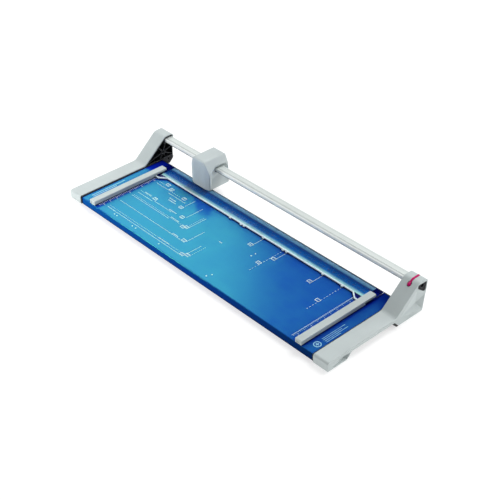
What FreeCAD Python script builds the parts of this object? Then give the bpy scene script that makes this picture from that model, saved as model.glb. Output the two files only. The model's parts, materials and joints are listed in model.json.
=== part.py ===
import FreeCAD, Part
import math
import os

# Rotary paper trimmer, millimetres.
# +X runs along the cut, +Y across the table towards the rail, +Z up.
# The origin is on the ground, in the middle of the whole trimmer's outline.

# Everything is drawn so that the last mark on the strip, for the long side of an A3 sheet, stands
# 594 from the left bar. Each node is brought to its real size when it is written, where that
# side is 420 mm, so a drawn length is 1.414 times the real one.
DRAWN_SIDE = 594.0
REAL_SIDE = 420.0

# ---- Driving dimensions, as drawn ----
TABLE_TOP = 19.0          # height of the table's working surface
EDGE_Y = 96.5             # cut line: rear face of the fixed blade
TABLE_DEPTH = 236.0       # table from its front flange to the cut line
TABLE_FRONT = EDGE_Y - TABLE_DEPTH
TABLE_HALF = 373.5        # half of the table's length
SHEET = 1.5               # table sheet thickness
FLANGE_FOOT = 1.1         # gap between the front flange and the ground

COVER_IN = 377.0          # inner edge of an end cover, from the middle
COVER_OUT = 415.3         # outer face of an end cover, from the middle
COVER_WALL = 2.4
COVER_SIDE = 8.0          # side wall, thick enough for its facets
COVER_SILL = 1.2          # gap between a cover and the ground
COVER_FRONT = -142.5
COVER_TOP = 22.2          # top of the low front band
TOWER_TOP = 76.8
TOWER_REAR = 136.5

RAIL_FRONT = 109.0
RAIL_REAR = 131.0
RAIL_LOW = 61.0
RAIL_HIGH = 69.5
RAIL_HALF = 396.0

BAR_IN = 325.0            # inner side of an alignment bar, from the middle
BAR_OUT = 342.0
BAR_REAR = 69.0
BAR_TOP = 29.5

STRIP_LOW = 20.5
STRIP_HIGH = 23.0
STRIP_HALF = 342.0
STRIP_FRONT = 48.8
STRIP_REAR = 91.2
STRIP_FOOT_FRONT = 35.2
POST_X = 333.5
POST_R = 1.5

HEAD_X = -215.5           # the cutting head's place along the rail
HEAD_HALF = 31.75
HEAD_FRONT = 83.5
HEAD_BOW = 4.4            # how far the middle of the front face stands out
HEAD_FLAT = 19.5          # half width of that middle
HEAD_REAR = 142.5
HEAD_LOW = 24.5
HEAD_TOP = 96.5
HEAD_WALL = 2.4

BLADE_R = 14.0
BLADE_Z = TABLE_TOP - 2.0 + BLADE_R
BLADE_FRONT = EDGE_Y + 0.1
BLADE_THICK = 0.8
ROLLER_R = 7.0
ROLLER_Z = STRIP_HIGH + 0.43 + ROLLER_R
ROLLER_X = 17.0

LATCH_X = 397.0           # middle of the release latch on the right tower
LATCH_BUTTON_Y = 101.4
LATCH_HALF = 2.2
LATCH_PIN_Y = 126.0
LATCH_PIN_Z = 74.9
LATCH_PIN_R = 1.0
FIT = 0.05                # radial clearance of a turning fit


# ---- Helpers ----
def vec(x, y, z):
    return FreeCAD.Vector(x, y, z)


def box(x0, x1, y0, y1, z0, z1):
    return Part.makeBox(x1 - x0, y1 - y0, z1 - z0, vec(x0, y0, z0))


def cyl_x(x0, x1, y, z, r):
    return Part.makeCylinder(r, x1 - x0, vec(x0, y, z), vec(1, 0, 0))


def cyl_y(x, y0, y1, z, r):
    return Part.makeCylinder(r, y1 - y0, vec(x, y0, z), vec(0, 1, 0))


def cyl_z(x, y, z0, z1, r):
    return Part.makeCylinder(r, z1 - z0, vec(x, y, z0), vec(0, 0, 1))


def rounded_wire(corners):
    """Closed wire through 3D corners, each (point, radius), with tangent arcs at the corners."""
    count = len(corners)
    starts, ends, middles = [], [], []
    for i, (point, radius) in enumerate(corners):
        before = corners[i - 1][0] - point
        after = corners[(i + 1) % count][0] - point
        before.normalize()
        after.normalize()
        half = before.getAngle(after) / 2
        if radius <= 0:
            starts.append(point)
            ends.append(point)
            middles.append(None)
            continue
        reach = radius / math.tan(half)
        bisector = before + after
        bisector.normalize()
        starts.append(point + before * reach)
        ends.append(point + after * reach)
        middles.append(point + bisector * (radius / math.sin(half) - radius))
    edges = []
    for i in range(count):
        if middles[i] is not None:
            edges.append(Part.Arc(starts[i], middles[i], ends[i]).toShape())
        following = starts[(i + 1) % count]
        if ends[i].distanceToPoint(following) > 1e-6:
            edges.append(Part.LineSegment(ends[i], following).toShape())
    return Part.Wire(edges)


def side_prism(x0, x1, outline):
    """Extrude an outline of (y, z, radius) along X."""
    wire = rounded_wire([(vec(x0, y, z), r) for y, z, r in outline])
    return Part.Face(wire).extrude(vec(x1 - x0, 0, 0))


def front_prism(y0, y1, outline):
    """Extrude an outline of (x, z, radius) along Y."""
    wire = rounded_wire([(vec(x, y0, z), r) for x, z, r in outline])
    return Part.Face(wire).extrude(vec(0, y1 - y0, 0))


def plan_prism(z0, z1, outline):
    """Extrude an outline of (x, y, radius) along Z."""
    wire = rounded_wire([(vec(x, y, z0), r) for x, y, r in outline])
    return Part.Face(wire).extrude(vec(0, 0, z1 - z0))


def pyramid(base, apex):
    """Closed solid between a flat polygon of points and one apex."""
    faces = [Part.Face(Part.makePolygon(base + [base[0]]))]
    for i, point in enumerate(base):
        following = base[(i + 1) % len(base)]
        faces.append(Part.Face(Part.makePolygon([point, following, apex, point])))
    solid = Part.Solid(Part.Shell(faces))
    if solid.Volume < 0:
        solid.reverse()
    return solid


def fuse(parts):
    return parts[0].multiFuse(parts[1:]).removeSplitter()


def mirror_x(shape):
    return shape.mirror(vec(0, 0, 0), vec(1, 0, 0))


def screw_z(x, y, seat, length, r, head_r, head_h):
    """Slotted screw that points up, with its head under the seat."""
    shank = cyl_z(x, y, seat, seat + length, r)
    head = cyl_z(x, y, seat - head_h, seat, head_r)
    slot = box(x - head_r, x + head_r, y - 0.4, y + 0.4, seat - head_h, seat - head_h * 0.5)
    return shank.fuse(head).cut(slot).removeSplitter()


def save(shapes, name):
    """Bring a node to its real size, write it and say what it holds."""
    shape = shapes.copy() if not isinstance(shapes, list) else Part.makeCompound(shapes)
    shape = shape.scaled(REAL_SIDE / DRAWN_SIDE, vec(0, 0, 0))
    shape.exportStep("parts/" + name + ".step")
    solids = shape.Solids
    valid = all(solid.isValid() for solid in solids)
    print(f"{name:22s} solids {len(solids):2d} volume {sum(s.Volume for s in solids):10.1f} valid {valid}")


# ---- Table ----
BLADE_SCREW_Z = 13.0
BLADE_SCREW_X = [-330.0, -235.0, -140.0, -45.0, 45.0, 140.0, 235.0, 330.0]
FIXED_BLADE_THICK = 2.5
REAR_FLANGE = EDGE_Y - FIXED_BLADE_THICK
STUD_X = 368.0
STUD_Y = [-110.0, -25.0, 60.0]
LEDGE_LOW = 13.2
BAR_SCREW_Y = [-118.0, 20.0]


def table_plate():
    front, rear, top = TABLE_FRONT, REAR_FLANGE, TABLE_TOP
    outer = [(front, FLANGE_FOOT, 1.0), (front, top, 2.5), (rear, top, 1.0), (rear, 5.0, 0),
             (rear - SHEET, 5.0, 0), (rear - SHEET, top - SHEET, 0.4),
             (front + SHEET, top - SHEET, 1.0), (front + SHEET, FLANGE_FOOT + SHEET, 0.4),
             (front + 9.0, FLANGE_FOOT + SHEET, 0), (front + 9.0, FLANGE_FOOT, 0)]
    plate = side_prism(-TABLE_HALF, TABLE_HALF, outer)
    holes = [cyl_y(x, rear - 5, rear + 5, BLADE_SCREW_Z, 2.1) for x in BLADE_SCREW_X]
    for y in BAR_SCREW_Y:
        holes += [cyl_z(x, y, top - 3, top + 1, 1.9) for x in (-POST_X, POST_X)]
    return plate.cut(Part.makeCompound(holes))


def table_stiffener():
    """Hat channel under the middle of the table."""
    y0, y1, low, high, t = -50.0, -4.0, 5.0, TABLE_TOP - SHEET, 1.2
    outline = [(y0 - 10, high - t, 0), (y0, high - t, 0.6), (y0 + 4, low, 1.8), (y1 - 4, low, 1.8),
               (y1, high - t, 0.6), (y1 + 10, high - t, 0), (y1 + 10, high, 0), (y1 - t, high, 0.6),
               (y1 - 4 - t, low + t, 0.6), (y0 + 4 + t, low + t, 0.6), (y0 + t, high, 0.6),
               (y0 - 10, high, 0)]
    return side_prism(-352, 352, outline)


def lower_blade():
    """Ground strip on the rear flange, with countersinks for its screws."""
    blade = side_prism(-TABLE_HALF, TABLE_HALF,
                       [(REAR_FLANGE, 7.0, 0), (EDGE_Y, 7.0, 0.4), (EDGE_Y, TABLE_TOP, 0),
                        (REAR_FLANGE, TABLE_TOP, 0.3)])
    cuts = []
    for x in BLADE_SCREW_X:
        cuts.append(cyl_y(x, REAR_FLANGE - 1, EDGE_Y + 1, BLADE_SCREW_Z, 2.1))
        cuts.append(Part.makeCone(2.1, 3.9, 1.8, vec(x, EDGE_Y - 1.8, BLADE_SCREW_Z), vec(0, 1, 0)))
    return blade.cut(Part.makeCompound(cuts))


def blade_screws():
    screws = []
    for x in BLADE_SCREW_X:
        shank = cyl_y(x, REAR_FLANGE - 5.5, EDGE_Y - 1.5, BLADE_SCREW_Z, 1.95)
        head = Part.makeCone(1.95, 3.7, 1.7, vec(x, EDGE_Y - 1.8, BLADE_SCREW_Z), vec(0, 1, 0))
        slot = box(x - 4, x + 4, EDGE_Y - 0.8, EDGE_Y, BLADE_SCREW_Z - 0.4, BLADE_SCREW_Z + 0.4)
        screws.append(fuse([shank, head]).cut(slot))
    return screws


def hex_nut(across, thick, bore):
    """Hexagonal nut standing on the XY plane, its axis along Z."""
    corner = across / math.sqrt(3)
    points = [vec(corner * math.cos(math.radians(a)), corner * math.sin(math.radians(a)), 0)
              for a in range(0, 361, 60)]
    nut = Part.Face(Part.makePolygon(points)).extrude(vec(0, 0, thick))
    return nut.cut(cyl_z(0, 0, -1, thick + 1, bore))


def blade_nuts():
    nuts = []
    for x in BLADE_SCREW_X:
        nut = hex_nut(6.8, 2.6, 2.0)
        nut.rotate(vec(0, 0, 0), vec(1, 0, 0), 90)
        nut.translate(vec(x, REAR_FLANGE - SHEET, BLADE_SCREW_Z))
        nuts.append(nut)
    return nuts


def table_studs():
    """Studs pressed on the underside of the sheet, through the ledges of the end brackets."""
    studs = []
    for x in (-STUD_X, STUD_X):
        for y in STUD_Y:
            stud = cyl_z(x, y, 8.0, TABLE_TOP - SHEET, 1.9)
            studs.append(stud.cut(Part.makeCone(2.6, 1.6, 1.0, vec(x, y, 7.0))))
    return studs


def table_nuts():
    nuts = []
    for x in (-STUD_X, STUD_X):
        for y in STUD_Y:
            nut = hex_nut(7.0, 3.0, 1.95)
            nut.translate(vec(x, y, LEDGE_LOW - 3.0))
            nuts.append(nut)
    return nuts


# ---- End brackets and covers: the right end, the left one is its mirror image ----
RIM = 2.2                 # thickness of a bracket's rim
BRACKET_REAR = 130.6
SLOPE_FOOT = 45.5         # where the cover's band starts to climb
SLOPE_HEAD = 109.5
COVER_OUTLINE = [(COVER_FRONT, COVER_SILL, 1.5), (COVER_FRONT, COVER_TOP, 5.0), (SLOPE_FOOT, COVER_TOP, 16.0),
                 (SLOPE_HEAD, TOWER_TOP, 15.0), (TOWER_REAR, TOWER_TOP, 8.0), (125.0, COVER_SILL, 2.5),
                 (57.0, COVER_SILL, 1.5), (42.5, 14.3, 1.0), (-76.0, 14.5, 5.0), (-90.0, COVER_SILL, 2.0)]
WINDOW = [(133.0, 70.4, 3.0), (107.5, 72.0, 2.5), (105.8, 63.8, 2.5), (124.6, 49.0, 2.5), (130.2, 50.5, 2.0)]
PLUG_SCALE = 0.965        # the plug in the window, against the window itself
WEB_X = 393.0             # web of a bracket, from the middle
WEB_THICK = 3.0
BRACKET_OUT = COVER_OUT - COVER_SIDE - 0.1
BOSS_Y, BOSS_Z = 101.5, 37.0
RING_Y, RING_Z = 113.5, 16.0
COVER_SCREWS = [(-118.0, 11.0), (BOSS_Y, BOSS_Z)]
RAIL_SCREW_Y = (RAIL_FRONT + RAIL_REAR) / 2
RAIL_SCREW_Z = (RAIL_LOW + RAIL_HIGH) / 2


def slope_shift(by):
    """How far the ends of the climbing band move along Y when it is moved inwards."""
    return by * math.tan(math.atan2(TOWER_TOP - COVER_TOP, SLOPE_HEAD - SLOPE_FOOT) / 2)


def bracket_outline():
    """Outside of a bracket, just inside the cover's walls."""
    by = COVER_WALL + 0.1
    low = COVER_SILL + 2.0
    shift = slope_shift(by)
    return [(COVER_FRONT + by, low, 1.0), (COVER_FRONT + by, COVER_TOP - by, 3.0),
            (SLOPE_FOOT + shift, COVER_TOP - by, 18.5), (SLOPE_HEAD + shift, TOWER_TOP - by, 12.5),
            (BRACKET_REAR, TOWER_TOP - by, 3.0), (BRACKET_REAR - 0.8, 14.0, 10.0),
            (BRACKET_REAR - 13.0, low, 3.0), (60.5, low, 1.0), (39.3, 16.0, 4.0),
            (-77.3, 17.0, 4.0), (-92.5, low, 1.0)]


def bracket_pockets():
    """Hollows of the tower and of the front foot."""
    by = COVER_WALL + 0.1 + RIM
    low = COVER_SILL + 2.0 + RIM
    shift = slope_shift(by)
    slope = (TOWER_TOP - COVER_TOP) / (SLOPE_HEAD - SLOPE_FOOT)
    foot_z = 21.5
    foot_y = SLOPE_FOOT + shift + (foot_z - COVER_TOP + by) / slope
    tower = [(62.7, low, 1.0), (49.5, 14.0, 1.5), (foot_y, foot_z, 1.5),
             (SLOPE_HEAD + shift, TOWER_TOP - by, 10.3), (BRACKET_REAR - RIM, TOWER_TOP - by, 3.0),
             (BRACKET_REAR - RIM - 0.8, 14.0, 8.0), (BRACKET_REAR - RIM - 13.0, low, 3.0)]
    foot = [(COVER_FRONT + by, low, 1.0), (COVER_FRONT + by, COVER_TOP - by, 0.5),
            (-84.0, COVER_TOP - by, 1.0), (-95.2, low, 1.0)]
    return [tower, foot]


def cover_side_cuts():
    """Facets sunk into a cover's outer face, and the window over the rail's end."""
    x = COVER_OUT + 0.01
    tower = [vec(x, 103.5, 60.0), vec(x, 128.8, 40.5), vec(x, 122.8, 6.8), vec(x, 60.0, 19.5)]
    crease = [vec(x, 58.0, 16.8), vec(x, 112.0, 5.2), vec(x, 84.0, 4.0)]
    foot = [vec(x, -134.0, 12.5), vec(x, -104.0, 18.2), vec(x, -82.5, 13.3), vec(x, -90.4, 3.4),
            vec(x, -134.0, 3.6)]
    return [pyramid(tower, vec(x - 6.8, 109.5, 24.5)),
            pyramid(crease, vec(x - 1.7, 86.0, 8.3)),
            pyramid(foot, vec(x - 5.5, -93.0, 6.2)),
            side_prism(BRACKET_OUT - 1, COVER_OUT + 1, WINDOW)]


def latch_seat():
    """Block under the top of the right cover that holds the latch's pin."""
    return box(LATCH_X - 5.5, LATCH_X + 5.5, LATCH_PIN_Y - 3.0, LATCH_PIN_Y + 3.5, 72.6, TOWER_TOP - 1.0)


def end_cover(with_latch):
    solid = side_prism(COVER_IN, COVER_OUT, COVER_OUTLINE)
    by = COVER_WALL
    shift = slope_shift(by)
    hollow = side_prism(COVER_IN - 1, COVER_OUT - COVER_SIDE,
                        [(COVER_FRONT + by, -5.0, 0), (COVER_FRONT + by, COVER_TOP - by, 3.0),
                         (SLOPE_FOOT + shift, COVER_TOP - by, 16.0 + by),
                         (SLOPE_HEAD + shift, TOWER_TOP - by, 12.0),
                         (TOWER_REAR - by, TOWER_TOP - by, 5.5), (TOWER_REAR - by - 1.4, 66.0, 0),
                         (145.0, 66.0, 0), (145.0, -5.0, 0)])
    solid = solid.cut(hollow)
    solid = solid.cut(Part.makeCompound(cover_side_cuts()))
    bosses = [latch_seat()] if with_latch else []
    for y, z in COVER_SCREWS:
        post = cyl_x(WEB_X + WEB_THICK + 0.05, COVER_OUT - COVER_SIDE + 0.5, y, z, 3.6)
        bosses.append(post.cut(cyl_x(WEB_X, COVER_OUT - COVER_SIDE - 1, y, z, 1.45)))
    solid = fuse([solid] + bosses)
    if not with_latch:
        return solid
    groove = side_prism(LATCH_X - LATCH_HALF - 0.3, LATCH_X + LATCH_HALF + 0.3,
                        [(98.5, 61.0, 0), (98.5, 80.0, 0), (131.2, 80.0, 0), (131.2, 70.0, 0)])
    pocket = cyl_z(LATCH_X, LATCH_BUTTON_Y, 60.0, 80.0, 4.9)
    pin_hole = cyl_x(LATCH_X - 5.0, LATCH_X + 5.0, LATCH_PIN_Y, LATCH_PIN_Z, LATCH_PIN_R)
    return solid.cut(Part.makeCompound([groove, pocket, pin_hole]))


def bracket_ribs(inner):
    """Thin ribs from the screw boss to the bracket's rim, on the side that faces the table."""
    ribs = []
    for angle in (18, 66, 128, 196, 238, 292, 332):
        rib = box(COVER_IN + 0.8, WEB_X + 0.5, 0, 70, -0.9, 0.9)
        rib.rotate(vec(0, 0, 0), vec(1, 0, 0), angle)
        rib.translate(vec(0, BOSS_Y, BOSS_Z))
        ribs.append(rib)
    return Part.makeCompound([rib.common(inner) for rib in ribs])


def right_bracket():
    body = side_prism(COVER_IN, BRACKET_OUT, bracket_outline())
    pockets = []
    for outline in bracket_pockets():
        pockets.append(side_prism(COVER_IN - 1, WEB_X, outline))
        pockets.append(side_prism(WEB_X + WEB_THICK, BRACKET_OUT + 1, outline))
    frame = body.cut(Part.makeCompound(pockets))
    wall = side_prism(COVER_IN - 3.0, COVER_IN,
                      [(COVER_FRONT + 1.0, 3.2, 1.0), (COVER_FRONT + 1.0, 20.6, 3.0), (48.0, 20.6, 0.5),
                       (50.0, 22.4, 0.5), (128.0, 22.4, 3.0), (128.4, 14.0, 8.0), (117.0, 3.2, 2.5)])
    ledge = box(360.0, COVER_IN - 2.5, TABLE_FRONT + 12, REAR_FLANGE - 6, LEDGE_LOW,
                TABLE_TOP - SHEET)
    socket = box(COVER_IN, WEB_X + 1, RAIL_FRONT - 2.6, RAIL_REAR + 0.5, RAIL_LOW - 2.6, RAIL_HIGH + 2.2)
    socket = socket.common(body)
    boss = cyl_x(COVER_IN + 0.5, WEB_X + 1, BOSS_Y, BOSS_Z, 4.6)
    ring = cyl_x(COVER_IN + 0.5, WEB_X + 1, RING_Y, RING_Z, 6.2)
    front_boss = cyl_x(COVER_IN + 0.5, WEB_X + 1, COVER_SCREWS[0][0], COVER_SCREWS[0][1], 4.6)
    middle_y = sum(y for y, z, r in WINDOW) / len(WINDOW)
    middle_z = sum(z for y, z, r in WINDOW) / len(WINDOW)
    smaller = [(middle_y + (y - middle_y) * PLUG_SCALE, middle_z + (z - middle_z) * PLUG_SCALE, r)
               for y, z, r in WINDOW]
    plug = side_prism(WEB_X + 1, COVER_OUT - 0.8, smaller)
    inner = body.common(box(COVER_IN, WEB_X + 1, 50, 140, 3, 80))
    solid = fuse([frame, wall, ledge, socket, boss, ring, front_boss, plug, *bracket_ribs(inner).Solids])
    cuts = [box(COVER_IN - 5, RAIL_HALF, RAIL_FRONT - FIT, RAIL_REAR + FIT, RAIL_LOW - FIT, RAIL_HIGH + FIT),
            cyl_x(COVER_IN - 5, WEB_X - 3, RING_Y, RING_Z, 3.4),
            cyl_x(RAIL_HALF - 1, COVER_OUT, RAIL_SCREW_Y, RAIL_SCREW_Z, 1.8),
            cyl_x(RAIL_HALF + 3, COVER_OUT, RAIL_SCREW_Y, RAIL_SCREW_Z, 4.4),
            box(LATCH_X - 6.0, LATCH_X + 6.0, 94, 130.2, 71.9, 80),
            side_prism(LATCH_X - LATCH_HALF - 0.6, LATCH_X + LATCH_HALF + 0.6,
                       [(104.0, 63.5, 0), (104.0, 80.0, 0), (122.0, 80.0, 0), (122.0, 71.0, 0),
                        (112.0, 70.6, 0)]),
            cyl_z(LATCH_X, LATCH_BUTTON_Y, 60.5, 80, 5.2)]
    for y, z in COVER_SCREWS:
        cuts.append(cyl_x(COVER_IN - 5, WEB_X - 2, y, z, 3.3))
        cuts.append(cyl_x(WEB_X - 3, WEB_X + WEB_THICK + 1, y, z, 1.7))
    for y in STUD_Y:
        cuts.append(cyl_z(STUD_X, y, 10, 20, 2.1))
    return solid.cut(Part.makeCompound(cuts)).removeSplitter()


def rubber_feet():
    """Front pads and rear wedges under the end brackets."""
    feet = []
    outer = BRACKET_OUT - 0.4
    for x0, x1 in ((383.0, outer), (-outer, -383.0)):
        feet.append(side_prism(x0, x1, [(-135.0, 0, 1.0), (-135.0, 3.2, 0.5), (-98.0, 3.2, 0.5),
                                        (-98.0, 0, 1.0)]))
        wedge = side_prism(x0, x1, [(112.0, 0, 1.0), (112.0, 3.2, 0.5), (60.4, 3.2, 0), (39.8, 15.6, 0),
                                    (36.2, 13.6, 0.8), (50.0, 0, 3.0)])
        lip_end = (COVER_OUT - 0.6) * (1 if x0 > 0 else -1)
        lip = side_prism(min(x0, x1, lip_end), max(x0, x1, lip_end),
                         [(42.0, 13.7, 0.2), (36.2, 13.6, 0.8), (49.5, 0.5, 2.0), (56.0, 0.5, 0.3)])
        feet.append(fuse([wedge, lip]))
    return feet


def cover_screws():
    screws = []
    for y, z in COVER_SCREWS:
        head = cyl_x(WEB_X - 4.4, WEB_X - 2.0, y, z, 2.9)
        shank = cyl_x(WEB_X - 2.0, WEB_X + 12.0, y, z, 1.4)
        slot = box(WEB_X - 5.0, WEB_X - 3.2, y - 2.0, y + 2.0, z - 0.4, z + 0.4)
        cross = box(WEB_X - 5.0, WEB_X - 3.2, y - 0.4, y + 0.4, z - 2.0, z + 2.0)
        screw = head.fuse(shank).cut(slot).cut(cross)
        screws += [screw, mirror_x(screw)]
    return screws


# ---- Rail ----
def guide_rail():
    """Extruded flat rail with a rounded front, two fine grooves on top and a slot underneath."""
    rail = side_prism(-RAIL_HALF, RAIL_HALF,
                      [(RAIL_FRONT, RAIL_LOW, 1.4), (RAIL_FRONT, RAIL_HIGH, 3.0), (RAIL_REAR, RAIL_HIGH, 1.2),
                       (RAIL_REAR, RAIL_LOW, 1.0)])
    cuts = [box(-RAIL_HALF - 1, RAIL_HALF + 1, 115.0, 125.0, RAIL_LOW - 1, RAIL_LOW + 1.4)]
    for y in (RAIL_FRONT + 4.6, RAIL_FRONT + 6.4):
        cuts.append(box(-RAIL_HALF - 1, RAIL_HALF + 1, y, y + 0.5, RAIL_HIGH - 0.4, RAIL_HIGH + 1))
    for x in (-RAIL_HALF, RAIL_HALF - 14.0):
        cuts.append(cyl_x(x, x + 14.0, RAIL_SCREW_Y, RAIL_SCREW_Z, 1.65))
    return rail.cut(Part.makeCompound(cuts))


def rail_screws():
    screws = []
    shank = cyl_x(RAIL_HALF - 12.0, RAIL_HALF + 3.0, RAIL_SCREW_Y, RAIL_SCREW_Z, 1.6)
    head = cyl_x(RAIL_HALF + 3.0, RAIL_HALF + 5.6, RAIL_SCREW_Y, RAIL_SCREW_Z, 3.6)
    socket = cyl_x(RAIL_HALF + 4.0, RAIL_HALF + 6.0, RAIL_SCREW_Y, RAIL_SCREW_Z, 1.5)
    screw = shank.fuse(head).cut(socket)
    screws += [screw, mirror_x(screw)]
    return screws


# ---- Alignment bars ----
POST_Y = [45.0, 60.0]
POCKET_TOP = 24.2


def right_bar():
    """Moulded bar, hollow from below, with a pocket at the rear for the clamp strip's end."""
    wall = 2.2
    front = TABLE_FRONT + 0.6
    body = front_prism(front, BAR_REAR, [(BAR_IN, TABLE_TOP, 0.3), (BAR_IN, BAR_TOP, 1.6),
                                         (BAR_OUT, BAR_TOP, 1.6), (BAR_OUT, TABLE_TOP, 0.3)])
    hollow = box(BAR_IN + wall, BAR_OUT - wall, front + 2.0, 30.0, TABLE_TOP - 1, BAR_TOP - 2.0)
    bosses = [cyl_z(POST_X, y, TABLE_TOP, BAR_TOP - 1.5, 3.4) for y in BAR_SCREW_Y]
    body = fuse([body.cut(hollow)] + bosses)
    cuts = [box(BAR_IN - 1, BAR_OUT + 1, STRIP_FOOT_FRONT - 1.4, BAR_REAR + 1, TABLE_TOP - 1, POCKET_TOP),
            box(BAR_OUT - 0.7, BAR_OUT + 1, front - 1, BAR_REAR + 1, 24.6, 25.6),
            box(BAR_IN - 1, BAR_IN + 0.5, front - 1, BAR_REAR + 1, 25.4, 26.0),
            box(BAR_IN + 3.0, BAR_OUT - 3.0, front - 1, front + 1.0, TABLE_TOP + 2.0, BAR_TOP - 3.0)]
    for y in BAR_SCREW_Y:
        cuts.append(cyl_z(POST_X, y, TABLE_TOP - 1, 26.5, 1.5))
    for y in POST_Y:
        cuts.append(cyl_z(POST_X, y, TABLE_TOP, 28.0, POST_R))
    return body.cut(Part.makeCompound(cuts))


def bar_screws():
    places = [(x, y) for x in (-POST_X, POST_X) for y in BAR_SCREW_Y]
    return [screw_z(x, y, TABLE_TOP - SHEET, 8.5, 1.45, 3.2, 2.2) for x, y in places]


# ---- Clamp ----
PAPER_MARKS = [251.5, 287.4, 297.0, 359.2, 420.0, 431.1, 538.8, 594.0]   # lengths from the left bar


def clamp_strip():
    """Transparent strip with widened ends under the bars and small pointers on its front edge."""
    near, far = 297.0, 313.0
    outline = [(-STRIP_HALF, STRIP_FOOT_FRONT, 1.0), (-far, STRIP_FOOT_FRONT, 4.0), (-near, STRIP_FRONT, 5.0),
               (near, STRIP_FRONT, 5.0), (far, STRIP_FOOT_FRONT, 4.0), (STRIP_HALF, STRIP_FOOT_FRONT, 1.0),
               (STRIP_HALF, STRIP_REAR, 1.0), (-STRIP_HALF, STRIP_REAR, 1.0)]
    strip = plan_prism(STRIP_LOW, STRIP_HIGH, outline)
    tabs = []
    for length in PAPER_MARKS:
        x = length - BAR_IN
        tabs.append(box(x - 1.5, x + 1.5, STRIP_FRONT - 2.8, STRIP_FRONT + 1, STRIP_LOW, STRIP_HIGH))
    strip = fuse([strip] + tabs)
    cuts = [side_prism(-STRIP_HALF - 1, STRIP_HALF + 1,
                       [(STRIP_REAR - 2.0, STRIP_HIGH + 1, 0), (STRIP_REAR + 1, STRIP_HIGH + 1, 0),
                        (STRIP_REAR + 1, STRIP_HIGH - 0.8, 0)])]
    for x in (-POST_X, POST_X):
        cuts += [cyl_z(x, y, STRIP_LOW - 1, STRIP_HIGH + 1, POST_R + 0.08) for y in POST_Y]
    return strip.cut(Part.makeCompound(cuts))


def clamp_posts():
    return [cyl_z(x, y, TABLE_TOP, 28.0, POST_R) for x in (-POST_X, POST_X) for y in POST_Y]


def clamp_spring(x0):
    """Arched leaf between the table and the foot of the strip."""
    y0, y1, rise, thick = 38.0, 66.0, STRIP_LOW - TABLE_TOP, 0.25
    middle = (y0 + y1) / 2
    top = Part.Arc(vec(x0, y0, TABLE_TOP + thick), vec(x0, middle, TABLE_TOP + rise),
                   vec(x0, y1, TABLE_TOP + thick)).toShape()
    low = Part.Arc(vec(x0, y0, TABLE_TOP), vec(x0, middle, TABLE_TOP + rise - thick),
                   vec(x0, y1, TABLE_TOP)).toShape()
    ends = []
    for y in (y0, y1):
        ends.append(Part.LineSegment(vec(x0, y, TABLE_TOP), vec(x0, y, TABLE_TOP + thick)).toShape())
    wire = Part.Wire([low, ends[1], top, ends[0]])
    return Part.Face(wire).extrude(vec(5.0, 0, 0))


# ---- Release latch on the right tower ----
def release_latch():
    tongue = side_prism(LATCH_X - LATCH_HALF, LATCH_X + LATCH_HALF,
                        [(99.6, 66.4, 0.6), (98.4, 67.9, 0.6), (109.5, 77.3, 14.0), (130.6, 77.3, 1.0),
                         (130.6, 73.6, 1.0), (110.8, 73.6, 10.0), (102.6, 66.6, 0.6)])
    button = Part.makeSphere(4.1, vec(LATCH_X, LATCH_BUTTON_Y, 68.2))
    return fuse([tongue, button]).cut(cyl_x(LATCH_X - 3, LATCH_X + 3, LATCH_PIN_Y, LATCH_PIN_Z,
                                            LATCH_PIN_R + FIT))


def latch_pin():
    return cyl_x(LATCH_X - 4.9, LATCH_X + 4.9, LATCH_PIN_Y, LATCH_PIN_Z, LATCH_PIN_R)


# ---- Cutting head ----
HOLLOW_RIM = [(85.5, 27.0), (139.8, 27.0), (139.8, 58.0), (139.8, 80.0), (120.0, 88.0), (98.0, 86.0),
              (86.5, 64.0)]
HOLLOW_FLOOR = [(98.0, 44.0), (128.0, 57.0), (132.3, 59.4), (132.3, 70.9), (122.0, 70.9), (110.0, 70.9),
                (100.0, 62.0)]
HOLLOW_DEPTH = 9.0
FRONT_SCREWS = [(-17.0, 46.0), (17.0, 46.0)]
REAR_SCREWS = [(-14.0, 75.0), (14.0, 75.0)]
GRIP_X = [-15.0, -9.0, -3.0, 3.0, 9.0, 15.0]   # shallow grip grooves on the front
CORE_HALF = 19.5
BLOCK_LOW, BLOCK_HIGH = 55.0, 78.0
BRIDGE_LOW = 50.0


def head_form(inset, low):
    """The head's outer form, moved inwards by a wall: front view, plan and side view intersected."""
    half = HEAD_HALF - inset
    top = HEAD_TOP - inset
    front = front_prism(60, 160, [(HEAD_X - half, low, 0.8), (HEAD_X - half + 0.4, 68.0, 24.0 - inset),
                                  (HEAD_X - 19.0 + inset, top, 6.5), (HEAD_X + 19.0 - inset, top, 6.5),
                                  (HEAD_X + half - 0.4, 68.0, 24.0 - inset), (HEAD_X + half, low, 0.8)])
    y_corner = HEAD_FRONT + inset
    y_front = y_corner - HEAD_BOW
    rear = HEAD_REAR - inset
    flat = HEAD_FLAT - inset * 0.5
    turn = 3.5 - inset
    plan = plan_prism(low - 1, low + 80,
                      [(HEAD_X - half, rear, turn), (HEAD_X - half, y_corner, turn),
                       (HEAD_X - flat, y_front, 8.0), (HEAD_X + flat, y_front, 8.0),
                       (HEAD_X + half, y_corner, turn), (HEAD_X + half, rear, turn)])
    side = side_prism(HEAD_X - 40, HEAD_X + 40,
                      [(y_front, low, 0), (y_front, top, 4.6 - inset * 0.8),
                       (rear, top, 4.8 - inset * 0.8), (rear, low, 0)])
    return front.common(plan).common(side)


def mirror_head(shape):
    return shape.mirror(vec(HEAD_X, 0, 0), vec(1, 0, 0))


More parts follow.
